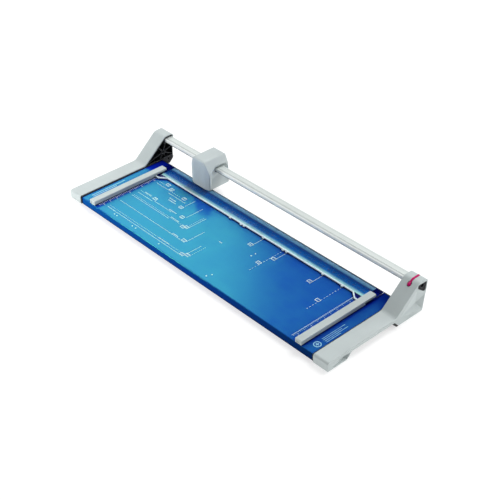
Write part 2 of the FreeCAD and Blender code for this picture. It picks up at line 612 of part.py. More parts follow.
def head_shell():
    outer = head_form(0.0, HEAD_LOW)
    cavity = head_form(HEAD_WALL, HEAD_LOW - 3)
    rooms = []
    for half, y0, y1 in ((24.6, 60.0, 92.4), (22.4, 92.3, 96.3), (CORE_HALF + 0.9, 96.2, 150.0)):
        rooms.append(box(HEAD_X - half, HEAD_X + half, y0, y1, 0, 110))
    shell = outer.cut(cavity.common(fuse(rooms)))
    x_face = HEAD_X + HEAD_HALF + 0.02
    rims = []
    for x, ring in ((x_face, HOLLOW_RIM), (x_face - HOLLOW_DEPTH, HOLLOW_FLOOR)):
        points = [vec(x, y, z) for y, z in ring]
        rims.append(Part.makePolygon(points + [points[0]]))
    hollow = Part.makeLoft(rims, True, True)
    tunnel = box(HEAD_X, HEAD_X + 40, 107.6, 132.3, 59.4, 70.9)
    bosses = []
    for x, z in FRONT_SCREWS:
        bosses.append(cyl_y(HEAD_X + x, HEAD_FRONT - HEAD_BOW + 1.2, 92.4, z, 3.4))
    shell = fuse([shell] + bosses)
    cuts = [hollow, tunnel, mirror_head(hollow), mirror_head(tunnel)]
    for x in GRIP_X:
        cuts.append(cyl_z(HEAD_X + x, HEAD_FRONT - HEAD_BOW - 0.6, HEAD_LOW + 7.0, HEAD_TOP - 12.0, 1.1))
    for x, z in FRONT_SCREWS:
        cuts.append(cyl_y(HEAD_X + x, HEAD_FRONT + 2.0, 93.0, z, 1.45))
    for x, z in REAR_SCREWS:
        cuts.append(cyl_y(HEAD_X + x, 135.0, 145.0, z, 1.6))
        cuts.append(cyl_y(HEAD_X + x, HEAD_REAR - 1.4, 145.0, z, 3.2))
    return shell.cut(Part.makeCompound(cuts))


def head_carrier():
    """Inner frame: a block round the rail, and a plate in front that holds the axles."""
    block = box(HEAD_X - CORE_HALF, HEAD_X + CORE_HALF, 103.5, 139.8, BLOCK_LOW, BLOCK_HIGH)
    bridge = box(HEAD_X - 18, HEAD_X + 18, 92.5, 103.6, BRIDGE_LOW, 57.0)
    plate = front_prism(92.5, 95.8, [(HEAD_X - 22.0, 25.2, 2.0), (HEAD_X - 22.0, 56.0, 4.0),
                                     (HEAD_X + 22.0, 56.0, 4.0), (HEAD_X + 22.0, 25.2, 2.0)])
    carrier = fuse([block, bridge, plate])
    cuts = [box(HEAD_X - 40, HEAD_X + 40, 107.5, 132.5, 59.5, 71.0),
            cyl_y(HEAD_X, 92, 96, BLADE_Z, 2.0)]
    for x in (-ROLLER_X, ROLLER_X):
        cuts.append(cyl_y(HEAD_X + x, 92, 96, ROLLER_Z, 1.5))
    for x, z in FRONT_SCREWS:
        cuts.append(cyl_y(HEAD_X + x, 92, 96, z, 1.7))
    for x, z in REAR_SCREWS:
        cuts.append(cyl_y(HEAD_X + x, 126.0, 141.0, z, 1.45))
    return carrier.cut(Part.makeCompound(cuts))


def glide_pads():
    pads = []
    for x0 in (HEAD_X - 19.0, HEAD_X + 11.0):
        x1 = x0 + 8.0
        pads.append(box(x0, x1, 111.0, 129.0, RAIL_HIGH + FIT, 71.0))
        pads.append(box(x0, x1, 110.0, 130.0, 59.5, RAIL_LOW - FIT))
        pads.append(box(x0, x1, 107.5, RAIL_FRONT - FIT, 63.0, 66.0))
        pads.append(box(x0, x1, RAIL_REAR + FIT, 132.5, 62.6, 68.0))
    return pads


def blade_cartridge():
    """Plastic holder behind the circular blade."""
    body = front_prism(99.6, 106.6, [(HEAD_X - 15, 24.8, 5.0), (HEAD_X - 15, BLOCK_LOW, 0),
                                     (HEAD_X + 15, BLOCK_LOW, 0), (HEAD_X + 15, 24.8, 5.0)])
    relief = cyl_y(HEAD_X, 99.0, 101.0, BLADE_Z, 5.2)
    notch = box(HEAD_X - 18.0, HEAD_X + 18.0, 99.0, 103.6, BRIDGE_LOW, BLOCK_LOW + 1)
    slots = [box(HEAD_X + x - 1.2, HEAD_X + x + 1.2, 105.0, 108.0, 30.0, 50.0) for x in (-9.0, 9.0)]
    return body.cut(Part.makeCompound([relief, notch, cyl_y(HEAD_X, 99, 108, BLADE_Z, 2.0)] + slots))


def blade_disc():
    """Circular blade, flat in front and bevelled behind, pressed on its hub."""
    flat = Part.makeCylinder(BLADE_R, 0.15, vec(HEAD_X, BLADE_FRONT, BLADE_Z), vec(0, 1, 0))
    bevel = Part.makeCone(BLADE_R, BLADE_R - 2.6, BLADE_THICK - 0.15,
                          vec(HEAD_X, BLADE_FRONT + 0.15, BLADE_Z), vec(0, 1, 0))
    holes = [cyl_y(HEAD_X, 96, 99, BLADE_Z, 4.5)]
    for angle in range(0, 360, 60):
        x = HEAD_X + 8.2 * math.cos(math.radians(angle))
        z = BLADE_Z + 8.2 * math.sin(math.radians(angle))
        holes.append(cyl_y(x, 96, 99, z, 1.1))
    return fuse([flat, bevel]).cut(Part.makeCompound(holes))


def blade_hub():
    rear = BLADE_FRONT + BLADE_THICK
    collar = cyl_y(HEAD_X, rear, rear + 0.8, BLADE_Z, 6.2)
    hub = fuse([cyl_y(HEAD_X, EDGE_Y - 0.4, rear, BLADE_Z, 4.5), collar])
    return hub.cut(cyl_y(HEAD_X, 94, 100, BLADE_Z, 2.0 + FIT))


def blade_spring():
    """Conical washer that presses the blade against the fixed one."""
    cone = Part.makeCone(2.8, 4.6, 1.1, vec(HEAD_X, 98.35, BLADE_Z), vec(0, 1, 0))
    bore = Part.makeCone(2.3, 4.1, 1.1, vec(HEAD_X, 98.35, BLADE_Z), vec(0, 1, 0))
    return cone.cut(bore)


def blade_axle():
    return cyl_y(HEAD_X, 92.6, 106.0, BLADE_Z, 2.0)


def roller_axles():
    axles = []
    for x in (-ROLLER_X, ROLLER_X):
        axle = cyl_y(HEAD_X + x, 85.2, 95.7, ROLLER_Z, 1.5)
        head = cyl_y(HEAD_X + x, 84.4, 85.2, ROLLER_Z, 2.6)
        axles.append(axle.fuse(head).removeSplitter())
    return axles


def press_roller(x):
    wheel = fuse([cyl_y(x, 85.6, 91.4, ROLLER_Z, 5.4), cyl_y(x, 91.4, 92.1, ROLLER_Z, 2.6)])
    ring = cyl_y(x, 86.8, 90.2, ROLLER_Z, 6.0).cut(cyl_y(x, 86.8, 90.2, ROLLER_Z, 4.6))
    dimples = [cyl_y(x + 3.4 * math.cos(a), 85.0, 86.2, ROLLER_Z + 3.4 * math.sin(a), 0.7)
               for a in (0, math.pi / 2, math.pi, 3 * math.pi / 2)]
    return wheel.cut(Part.makeCompound([ring, cyl_y(x, 85, 93, ROLLER_Z, 1.5 + FIT)] + dimples))


def roller_tyre(x):
    tyre = cyl_y(x, 86.8, 90.2, ROLLER_Z, ROLLER_R)
    rims = [e for e in tyre.Edges if e.Closed]
    tyre = tyre.makeFillet(1.2, rims)
    return tyre.cut(cyl_y(x, 86, 91, ROLLER_Z, 4.6))


def head_screws():
    screws = []
    for x, z in FRONT_SCREWS:
        shank = cyl_y(HEAD_X + x, 86.0, 95.8, z, 1.4)
        head = cyl_y(HEAD_X + x, 95.8, 98.0, z, 2.9)
        slot = box(HEAD_X + x - 3, HEAD_X + x + 3, 97.2, 98.1, z - 0.4, z + 0.4)
        screws.append(shank.fuse(head).cut(slot))
    for x, z in REAR_SCREWS:
        shank = cyl_y(HEAD_X + x, 128.0, HEAD_REAR - 1.4, z, 1.4)
        head = cyl_y(HEAD_X + x, HEAD_REAR - 1.4, HEAD_REAR - 0.2, z, 3.0)
        slot = box(HEAD_X + x - 2, HEAD_X + x + 2, HEAD_REAR - 0.9, HEAD_REAR, z - 0.4, z + 0.4)
        cross = box(HEAD_X + x - 0.4, HEAD_X + x + 0.4, HEAD_REAR - 0.9, HEAD_REAR, z - 2, z + 2)
        screws.append(shank.fuse(head).cut(slot).cut(cross))
    return screws


# ---- Write every node ----
def main():
    os.makedirs("parts", exist_ok=True)
    bracket = right_bracket()
    bar = right_bar()
    left_x, right_x = HEAD_X - ROLLER_X, HEAD_X + ROLLER_X
    nodes = {
        "table_plate": table_plate(), "table_stiffener": table_stiffener(),
        "table_studs": table_studs(), "table_nuts": table_nuts(),
        "lower_blade": lower_blade(), "blade_screws": blade_screws(), "blade_nuts": blade_nuts(),
        "left_bracket": mirror_x(bracket), "right_bracket": bracket,
        "left_cover": mirror_x(end_cover(False)), "right_cover": end_cover(True),
        "cover_screws": cover_screws(), "rubber_feet": rubber_feet(),
        "guide_rail": guide_rail(), "rail_screws": rail_screws(),
        "left_bar": mirror_x(bar), "right_bar": bar, "bar_screws": bar_screws(),
        "clamp_posts": clamp_posts(), "clamp_strip": clamp_strip(),
        "clamp_spring_left": clamp_spring(-331.5), "clamp_spring_right": clamp_spring(326.5),
        "release_latch": release_latch(), "latch_pin": latch_pin(),
        "head_shell": head_shell(), "head_carrier": head_carrier(), "glide_pads": glide_pads(),
        "blade_cartridge": blade_cartridge(), "blade_spring": blade_spring(), "blade_axle": blade_axle(),
        "blade_disc": blade_disc(), "blade_hub": blade_hub(), "roller_axles": roller_axles(),
        "roller_left": press_roller(left_x), "roller_left_tyre": roller_tyre(left_x),
        "roller_right": press_roller(right_x), "roller_right_tyre": roller_tyre(right_x),
        "head_screws": head_screws(),
    }
    for name, shapes in nodes.items():
        save(shapes, name)


main()
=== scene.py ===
import json
import math
import bmesh
import bpy
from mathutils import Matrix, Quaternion, Vector


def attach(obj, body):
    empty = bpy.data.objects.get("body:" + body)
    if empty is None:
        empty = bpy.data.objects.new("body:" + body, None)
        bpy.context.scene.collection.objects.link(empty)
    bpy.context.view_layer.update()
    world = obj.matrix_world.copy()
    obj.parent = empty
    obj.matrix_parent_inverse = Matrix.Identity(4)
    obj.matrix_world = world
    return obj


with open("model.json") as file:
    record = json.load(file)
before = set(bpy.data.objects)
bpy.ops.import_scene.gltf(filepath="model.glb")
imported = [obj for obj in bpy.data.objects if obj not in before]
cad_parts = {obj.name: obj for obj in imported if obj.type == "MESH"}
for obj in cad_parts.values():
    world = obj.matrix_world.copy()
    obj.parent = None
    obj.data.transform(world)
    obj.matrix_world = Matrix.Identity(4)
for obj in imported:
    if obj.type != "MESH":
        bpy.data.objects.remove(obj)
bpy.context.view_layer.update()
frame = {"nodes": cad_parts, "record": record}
nodes = frame["nodes"]
# Lengths on the trimmer are drawn larger than real, like the CAD: the long side of an A3 sheet is 594
DRAWN_SIDE, REAL_SIDE = 594.0, 420.0
MM = 0.001 * REAL_SIDE / DRAWN_SIDE     # real metres in a drawn millimetre
FULL = DRAWN_SIDE / REAL_SIDE           # drawn length of a real one

# ---- Camera: the direction it looks from, its distance and its lens ----
CAMERA_AZIMUTH = 48.75
CAMERA_ELEVATION = 35.78
CAMERA_ROLL = -1.57
CAMERA_DISTANCE = 1.6751
CAMERA_TARGET = Vector((0.0317, -0.0007, 0.0134))
CAMERA_LENS = 80.4


# ---- Node helpers ----
def add(tree, kind, props=None, **inputs):
    """New shader node. A value that is a socket is linked, and any other is set on the input."""
    node = tree.nodes.new("ShaderNode" + kind)
    for key, value in (props or {}).items():
        setattr(node, key, value)
    for key, value in inputs.items():
        socket = node.inputs[int(key[1:])] if key[0] == "_" else node.inputs[key.replace("_", " ")]
        if isinstance(value, bpy.types.NodeSocket):
            tree.links.new(value, socket)
        else:
            socket.default_value = value
    return node


def new_material(name, **shader):
    """Material with a Principled shader whose named inputs are set, and its node tree."""
    material = bpy.data.materials.new(name)
    material.use_nodes = True
    tree = material.node_tree
    bsdf = tree.nodes["Principled BSDF"]
    for key, value in shader.items():
        bsdf.inputs[key.replace("_", " ")].default_value = value
    return material, tree, bsdf


def position(tree):
    """Place on the object in drawn metres."""
    real = add(tree, "TexCoord").outputs["Object"]
    return add(tree, "VectorMath", props={"operation": "SCALE"}, _0=real, _3=FULL).outputs[0]


def noise(tree, scale, detail=3.0, stretch=None):
    """Noise fixed to the object. A low stretch along an axis draws it out into lines."""
    where = position(tree)
    if stretch:
        where = add(tree, "Mapping", Vector=where, Scale=stretch).outputs[0]
    return add(tree, "TexNoise", Vector=where, Scale=scale, Detail=detail).outputs["Fac"]


def ramp(tree, factor, stops):
    """Colour ramp through (position, grey or colour) stops."""
    node = add(tree, "ValToRGB", Fac=factor)
    elements = node.color_ramp.elements
    while len(elements) < len(stops):
        elements.new(0.5)
    for element, (place, colour) in zip(elements, stops):
        element.position = place
        element.color = (colour,) * 3 + (1,) if isinstance(colour, (int, float)) else (*colour, 1)
    return node.outputs[0]


def span(tree, value, low, high):
    """0 at low, 1 at high, straight between."""
    return add(tree, "MapRange", Value=value, From_Min=low, From_Max=high).outputs[0]


def product(tree, a, b):
    return add(tree, "Math", props={"operation": "MULTIPLY"}, _0=a, _1=b).outputs[0]


def mix(tree, factor, a, b, blend="MIX"):
    """Blend of two colours, each a socket or three numbers."""
    node = tree.nodes.new("ShaderNodeMix")
    node.data_type = "RGBA"
    node.blend_type = blend
    for index, value in ((0, factor), (6, a), (7, b)):
        if isinstance(value, bpy.types.NodeSocket):
            tree.links.new(value, node.inputs[index])
        elif index == 0:
            node.inputs[0].default_value = value
        else:
            node.inputs[index].default_value = (*value, 1)
    return node.outputs[2]


def bump(tree, bsdf, height, strength, distance, normal=None):
    node = add(tree, "Bump", Strength=strength, Distance=distance / FULL, Height=height)
    if normal:
        tree.links.new(normal, node.inputs["Normal"])
    tree.links.new(node.outputs[0], bsdf.inputs["Normal"])


def soft_edges(tree, radius):
    """Normal that turns smoothly over an edge, and a mask that is 1 on the edge."""
    rounded = add(tree, "Bevel", props={"samples": 6}, Radius=radius / FULL).outputs[0]
    flat = add(tree, "NewGeometry").outputs["Normal"]
    alike = add(tree, "VectorMath", props={"operation": "DOT_PRODUCT"}, _0=rounded, _1=flat).outputs["Value"]
    return rounded, span(tree, alike, 0.98, 0.75)


# ---- Materials ----
def plastic(name, colour, roughness, grain=1500.0, depth=0.3, spread=0.05, edge=None, radius=0.0006,
            gloss=0.5):
    """Moulded plastic: slight random changes of tone, fine grain, rubbed spots, and edges painted paler as a
    painted highlight.
    """
    material, tree, bsdf = new_material(name, IOR=1.47, Specular_IOR_Level=gloss)
    darker = tuple(c * (1 - spread) for c in colour)
    lighter = tuple(min(1.0, c * (1 + spread)) for c in colour)
    rounded, edge_highlight = soft_edges(tree, radius)
    shade = ramp(tree, noise(tree, 14.0, 4.0), [(0.3, darker), (0.7, lighter)])
    # Painted highlight: the edges are painted in a paler colour, standing in for glints on rounded edges.
    shade = mix(tree, edge_highlight, shade, edge or tuple(min(1.0, c * 1.12) for c in colour))
    tree.links.new(shade, bsdf.inputs["Base Color"])
    rub = ramp(tree, noise(tree, 45.0, 5.0), [(0.35, roughness - 0.06), (0.7, roughness + 0.08)])
    tree.links.new(rub, bsdf.inputs["Roughness"])
    bump(tree, bsdf, noise(tree, grain, 2.0), depth, 0.00006, rounded)
    return material


# Places in drawn metres, here and for the lacquer and the rail. The first is where a change of colour
# starts, and the second is where it ends
BAR_SHADOW_HEIGHTS = (0.0206, 0.0200)   # heights of the painted contact shadow along the base of the bars


def bar_finish():
    """Grey plastic of the alignment bars, with a painted contact shadow: near-black along the base of the
    side that faces +X.
    """
    material = plastic("bar_plastic", (0.53, 0.595, 0.595), 0.38)
    tree = material.node_tree
    paint = tree.nodes["Principled BSDF"].inputs["Base Color"]
    place = add(tree, "SeparateXYZ", Vector=position(tree)).outputs[2]
    facing = add(tree, "SeparateXYZ", Vector=add(tree, "NewGeometry").outputs["Normal"]).outputs[0]
    # Painted contact shadow on the side that faces +X, near its base.
    painted_foot_shadow = product(tree, span(tree, place, *BAR_SHADOW_HEIGHTS), span(tree, facing, 0.4, 0.6))
    shade = mix(tree, painted_foot_shadow, paint.links[0].from_socket, (0.012, 0.016, 0.022))
    tree.links.new(shade, paint)
    return material


def steel(name, colour, roughness, stretch=(1, 1, 1), scale=600.0, metallic=1.0):
    """Metal with fine lines along the direction of least stretch, and faint stains."""
    material, tree, bsdf = new_material(name, Metallic=metallic)
    lines = noise(tree, scale, 3.0, stretch)
    stains = noise(tree, 25.0, 4.0)
    darker = tuple(c * 0.85 for c in colour)
    shade = ramp(tree, lines, [(0.3, darker), (0.7, colour)])
    shade = mix(tree, 0.5, shade, ramp(tree, stains, [(0.3, darker), (0.6, colour)]))
    tree.links.new(shade, bsdf.inputs["Base Color"])
    rub = ramp(tree, noise(tree, 60.0, 4.0), [(0.3, roughness - 0.05), (0.75, roughness + 0.12)])
    tree.links.new(rub, bsdf.inputs["Roughness"])
    bump(tree, bsdf, lines, 0.25, 0.00003)
    return material


FLANGE_SHADE_Y = (-0.1385, -0.1393)   # y, where the lacquer turns to its painted shade in front: the flange is painted darker
TABLE_HALF = 0.38             # half the length over which the lacquer's colour changes
SHADE_REACH = 0.078             # pieces within this real distance get painted shade: darker paint and less sheen
CONTACT_SHADOW_REACH = 0.006         # and within this one a painted dark contact shadow line


def lacquer():
    """Blue lacquer: deep blue paint under a cyan sheen that mirrors the room, with painted shade: the flange
    is painted darker with almost no sheen, the paint is painted darker and the sheen taken off near other
    pieces, and a painted contact shadow line where they touch.
    """
    material, tree, paint = new_material("blue_lacquer", Specular_IOR_Level=0.0)
    split = add(tree, "SeparateXYZ", Vector=position(tree))
    along = span(tree, split.outputs[0], -TABLE_HALF, TABLE_HALF)
    flange = span(tree, split.outputs[1], *FLANGE_SHADE_Y)
    cloud = ramp(tree, noise(tree, 5.0, 3.0), [(0.3, 0.94), (0.7, 1.05)])
    top = ramp(tree, along, [(0.0, (0.002, 0.020, 0.64)), (1.0, (0.001, 0.014, 0.56))])
    # Painted shade on the flange: darker than the top, darkest towards the right.
    front = ramp(tree, along, [(0.0, (0.002, 0.07, 0.33)), (0.5, (0.001, 0.028, 0.28)),
                               (1.0, (0.000, 0.004, 0.11))])
    deep = mix(tree, 1.0, mix(tree, flange, top, front), cloud, "MULTIPLY")
    # Painted shade from ambient occlusion: near other pieces the paint is darkened and the sheen taken off.
    open_sky = add(tree, "AmbientOcclusion", props={"samples": 6}, Distance=SHADE_REACH).outputs["AO"]
    unshaded = ramp(tree, open_sky, [(0.5, 0.0), (0.82, 0.3), (0.96, 1.0)])
    unshaded = add(tree, "Math", props={"operation": "MAXIMUM"}, _0=unshaded, _1=flange).outputs[0]
    deep = mix(tree, 1.0, deep, ramp(tree, unshaded, [(0.0, 0.4), (1.0, 1.0)]), "MULTIPLY")
    # Painted contact shadow: a dark line where pieces touch the lacquer.
    touching = add(tree, "AmbientOcclusion", props={"samples": 6}, Distance=CONTACT_SHADOW_REACH).outputs["AO"]
    clear_of_contact_shadow = ramp(tree, touching, [(0.15, 0.7), (0.42, 0.0), (0.55, 0.0), (0.85, 1.0)])
    deep = mix(tree, 1.0, deep, ramp(tree, clear_of_contact_shadow, [(0.0, 0.1), (1.0, 1.0)]), "MULTIPLY")
    tree.links.new(deep, paint.inputs["Base Color"])
    scratches = noise(tree, 350.0, 2.0, (0.04, 1.0, 1.0))
    rub = ramp(tree, mix(tree, 0.4, noise(tree, 30.0, 4.0), scratches), [(0.35, 0.15), (0.65, 0.23)])
    tree.links.new(rub, paint.inputs["Roughness"])
    grain = add(tree, "Bump", Strength=0.12, Distance=0.00002, Height=noise(tree, 1200.0, 2.0)).outputs[0]
    tree.links.new(grain, paint.inputs["Normal"])
    sheen = add(tree, "BsdfPrincipled", Metallic=1.0, Base_Color=(0.11, 0.90, 0.42, 1), Roughness=rub,
                Normal=grain)
    # Painted shade: almost no sheen on the flange, and less where pieces shade the lacquer or touch it.
    share = add(tree, "MapRange", Value=flange, To_Min=0.32, To_Max=0.02).outputs[0]
    share = product(tree, product(tree, share, unshaded), clear_of_contact_shadow)
    both = add(tree, "MixShader", _0=share, _1=paint.outputs[0], _2=sheen.outputs[0])
    tree.links.new(both.outputs[0], tree.nodes["Material Output"].inputs[0])
    return material


RAIL_GROOVE_SHADES = [(0.1138, 0.00035), (0.1156, 0.00035), (0.1262, 0.00025)]   # y and half width of the painted shade in the grooves
RAIL_LIT_FRONT = (0.1125, 0.1122)           # y, where the front face begins, painted paler as painted light
RAIL_UNDER = (0.0632, 0.0629)           # height of the dark lower edge


def rail_finish():
    """Satin anodised aluminium drawn along X, with painted shade in its grooves, its front face painted
    paler as painted light, and a dark line under its lower edge.
    """
    material, tree, bsdf = new_material("anodised_rail", Metallic=0.2)
    split = add(tree, "SeparateXYZ", Vector=position(tree))
    lines = noise(tree, 700.0, 3.0, (0.02, 1, 1))
    shade = ramp(tree, lines, [(0.3, (0.66, 0.72, 0.70)), (0.7, (0.76, 0.81, 0.79))])
    # Painted shade in the grooves.
    for place, half in RAIL_GROOVE_SHADES:
        groove_shade = add(tree, "Math", props={"operation": "COMPARE"}, _0=split.outputs[1], _1=place, _2=half)
        shade = mix(tree, groove_shade.outputs[0], shade, (0.38, 0.43, 0.43))
    # Painted light: the front face is painted paler.
    front = span(tree, split.outputs[1], *RAIL_LIT_FRONT)
    shade = mix(tree, front, shade, (0.84, 0.88, 0.87))
    under = span(tree, split.outputs[2], *RAIL_UNDER)
    shade = mix(tree, under, shade, (0.05, 0.07, 0.08))
    tree.links.new(shade, bsdf.inputs["Base Color"])
    rub = ramp(tree, noise(tree, 60.0, 4.0, (0.2, 1, 1)), [(0.3, 0.38), (0.75, 0.5)])
    tree.links.new(rub, bsdf.inputs["Roughness"])
    bump(tree, bsdf, lines, 0.2, 0.00003)
    return material


def clear_plastic():
    """Transparent strip, faintly blue, with fine scratches."""
    material, tree, bsdf = new_material("clear_strip", Transmission_Weight=1.0, IOR=1.15)
    bsdf.inputs["Base Color"].default_value = (0.82, 0.93, 0.98, 1)
    scratches = noise(tree, 500.0, 2.0, (0.03, 1.0, 1.0))
    tree.links.new(ramp(tree, scratches, [(0.4, 0.02), (0.75, 0.14)]), bsdf.inputs["Roughness"])
    bump(tree, bsdf, scratches, 0.05, 0.00002)
    return material


def ink(name, colour, thin):
    """Printed ink: a little uneven, paler where it has rubbed."""
    material, tree, bsdf = new_material(name, IOR=1.45)
    patches = noise(tree, 260.0, 3.0)
    tree.links.new(ramp(tree, patches, [(0.3, thin), (0.55, colour)]), bsdf.inputs["Base Color"])
    tree.links.new(ramp(tree, patches, [(0.3, 0.5), (0.7, 0.35)]), bsdf.inputs["Roughness"])
    return material


# Shades of the ink under the strip, from its front edge to its rear edge: deep blue print under the scale,
# with pale stops at the front as a painted highlight of the lit front edge and at the rear as a painted
# reflection in the clear strip
BAND_PRINT_AND_LIGHT = [(0.0, (0.66, 0.90, 0.80)), (0.15, (0.42, 0.72, 0.74)), (0.26, (0.03, 0.20, 0.52)),
        (0.34, (0.006, 0.135, 0.50)), (0.70, (0.004, 0.10, 0.43)), (0.80, (0.18, 0.42, 0.70)),
        (0.88, (0.36, 0.58, 0.80)), (1.0, (0.36, 0.55, 0.76))]


def band_ink():
    """Ink under the strip: deep blue print under the scale, painted pale behind the white edge as a painted
    highlight and at the rear as a painted reflection.
    """
    material, tree, bsdf = new_material("band_ink", Specular_IOR_Level=0.0, Roughness=0.45)
    split = add(tree, "SeparateXYZ", Vector=position(tree))
    across = span(tree, split.outputs[1], 0.051, 0.091)
    shade = ramp(tree, across, BAND_PRINT_AND_LIGHT)
    mottle = ramp(tree, noise(tree, 320.0, 3.0), [(0.3, 0.85), (0.65, 1.08)])
    tree.links.new(mix(tree, 1.0, shade, mottle, "MULTIPLY"), bsdf.inputs["Base Color"])
    return material


# The edge colours given to plastics below are painted highlights on their edges.
FINISHES = {
    "lacquered_sheet": lacquer(),
    "zinc_steel": steel("zinc_steel", (0.62, 0.63, 0.64), 0.35),
    "ground_steel": steel("ground_steel", (0.42, 0.43, 0.45), 0.28, stretch=(0.05, 1, 1)),
    "black_steel": steel("black_steel", (0.05, 0.05, 0.055), 0.4),
    "spring_steel": steel("spring_steel", (0.5, 0.5, 0.5), 0.3),
    "black_plastic": plastic("black_plastic", (0.014, 0.014, 0.018), 0.5, edge=(0.30, 0.33, 0.34),
                             radius=0.0008, gloss=0.15),
    "grey_plastic": plastic("grey_plastic", (0.54, 0.605, 0.605), 0.42),
    "bar_plastic": bar_finish(),
    "head_plastic": plastic("head_plastic", (0.54, 0.605, 0.61), 0.42),
    "rubber": plastic("rubber", (0.018, 0.018, 0.02), 0.7, grain=900.0, depth=0.6, edge=(0.05, 0.05, 0.05)),
    "anodised_rail": rail_finish(),
    "clear_strip": clear_plastic(),
    "red_plastic": plastic("red_plastic", (0.58, 0.004, 0.14), 0.35, edge=(0.66, 0.01, 0.26), gloss=0.2),
    "glide_plastic": plastic("glide_plastic", (0.75, 0.75, 0.72), 0.4),
    "white_print": ink("white_print", (0.80, 0.90, 0.92), (0.55, 0.72, 0.82)),
    "navy_print": band_ink(),
}
SCALE_INK = ink("scale_ink", (0.002, 0.018, 0.13), (0.003, 0.035, 0.2))
MARGIN_INK = ink("margin_ink", (0.30, 0.58, 0.78), (0.16, 0.42, 0.66))
BLADE_EDGE = steel("blade_edge", (0.10, 0.11, 0.13), 0.3, stretch=(0.05, 1, 1))


def dress_nodes():
    """Every CAD node gets the finish of its material slot."""
    for part in frame["record"]["subparts"]:
        obj = nodes[part["node"]]
        obj.data.materials.clear()
        finish = BLADE_EDGE if part["node"] == "lower_blade" else FINISHES[part["material_slot"]]
        obj.data.materials.append(finish)


# ---- Printed marks: thin closed slabs of ink ----
def slab(mesh, x0, x1, y0, y1, z0, z1):
    """Closed box, sizes in mm."""
    corners = [(x0, y0), (x1, y0), (x1, y1), (x0, y1)]
    prism(mesh, corners, z0, z1)


def prism(mesh, outline, z0, z1):
    """Closed prism over an outline in mm that runs anticlockwise."""
    low = [mesh.verts.new((x * MM, y * MM, z0 * MM)) for x, y in outline]
    high = [mesh.verts.new((x * MM, y * MM, z1 * MM)) for x, y in outline]
    count = len(outline)
    mesh.faces.new(low[::-1])
    mesh.faces.new(high)
    for i in range(count):
        j = (i + 1) % count
        mesh.faces.new((low[i], low[j], high[j], high[i]))


def make_glyphs():
    """Solid digits one unit high: for each, its points, its faces and its width."""
    glyphs = {}
    for digit in "0123456789":
        curve = bpy.data.curves.new("digit", "FONT")
        curve.body = digit
        curve.size = 1.0
        curve.extrude = 0.5
        curve.resolution_u = 3
        holder = bpy.data.objects.new("digit", curve)
        mesh = bmesh.new()
        flat = bpy.data.meshes.new_from_object(holder)
        mesh.from_mesh(flat)
        bmesh.ops.remove_doubles(mesh, verts=mesh.verts, dist=1e-4)
        bmesh.ops.recalc_face_normals(mesh, faces=mesh.faces)
        points = [v.co.copy() for v in mesh.verts]
        faces = [[v.index for v in f.verts] for f in mesh.faces]
        left = min(p.x for p in points)
        width = max(p.x for p in points) - left
        glyphs[digit] = ([Vector((p.x - left, p.y, p.z)) for p in points], faces, width)
        mesh.free()
        bpy.data.objects.remove(holder)
        bpy.data.curves.remove(curve)
        bpy.data.meshes.remove(flat)
    return glyphs


GLYPHS = make_glyphs()
DIGIT_GAP = 0.12              # between digits, for a letter size of 1
DIGIT_HEIGHT = 0.7            # and of a digit


def number(mesh, text, x, y, height, z0, z1):
    """Number centred on (x, y), read from the front, sizes in mm."""
    total = sum(GLYPHS[c][2] for c in text) + DIGIT_GAP * (len(text) - 1)
    scale = height / DIGIT_HEIGHT
    left = x - total * scale / 2
    for c in text:
        points, faces, width = GLYPHS[c]
        verts = [mesh.verts.new(((left + p.x * scale) * MM, (y - height / 2 + p.y * scale) * MM,
                                 ((z0 + z1) / 2 + p.z * (z1 - z0)) * MM)) for p in points]
        for face in faces:
            mesh.faces.new([verts[i] for i in face])
        left += (width + DIGIT_GAP) * scale


def piece(name, mesh, slot, body, finish=None):
    """Object made from a bmesh, with its finish, riding on a body."""
    data = bpy.data.meshes.new(name)
    mesh.to_mesh(data)
    mesh.free()
    data.materials.append(finish or FINISHES[slot])
    obj = bpy.data.objects.new(name, data)
    bpy.context.scene.collection.objects.link(obj)
    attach(obj, body)
    return obj


EDGE_Y = 96.5                 # cut line
TABLE_TOP = 19.0
INK_LOW, INK_HIGH = TABLE_TOP - 0.02, TABLE_TOP + 0.04
LINE = 0.75                   # printed line width
MILLIMETRE = FULL             # one real millimetre and one real inch, drawn
INCH = 25.4 * FULL

# Lines along the cut: start x, end x, distance in front of the cut line, length of a dash or 0
ALONG = [(-303, -50, 215.4, 0), (-303, -46, 208.7, 2.5), (-303, -88, 179.8, 0), (-303, -170, 147.0, 0),
         (-300, -128, 142.5, 2.5), (-245, -185, 126.5, 0), (-303, -250, 121.0, 2.5), (-303, -250, 129.8, 0),
         (-303, -253, 74.3, 0), (-253, -214, 74.3, 3.0), (-250, -190, 82.0, 0), (-303, -280, 66.0, 2.5)]
# Lines across the table: x, nearest and furthest distance from the cut line, length of a dash or 0
ACROSS = [(-72.8, 124, 176, 0), (-37.7, 163, 210, 0), (-27.2, 160, 205, 2.5), (-109.4, 89, 137, 0),
          (-115.0, 89, 137, 2.5), (-143.9, 69, 117, 0), (-180.6, 61, 90, 0), (35.0, 50.5, 89, 0),
          (96.2, 46.5, 155.5, 4.0), (107.0, 50.5, 89, 0), (215.0, 50.5, 89, 0), (269.5, 50.5, 155.5, 4.0)]
# Size boxes: x and distance from the cut line of their middle, and the number inside
SIZES = [(-80.5, 176, "5"), (-44, 211, "4"), (-34, 205, "3"), (-115, 140, "6"), (-122, 145, "7"),
         (-152, 122, "6"), (-184, 99, "8"), (-206, 72, "9"), (-252, 119, "7"), (-256, 68, "8"),
         (-277, 61, "9"), (30.5, 82.7, "4"), (90.5, 114.5, "5"), (102.5, 82.7, "3"), (210, 82.7, "2"),
         (265, 114.5, "1")]
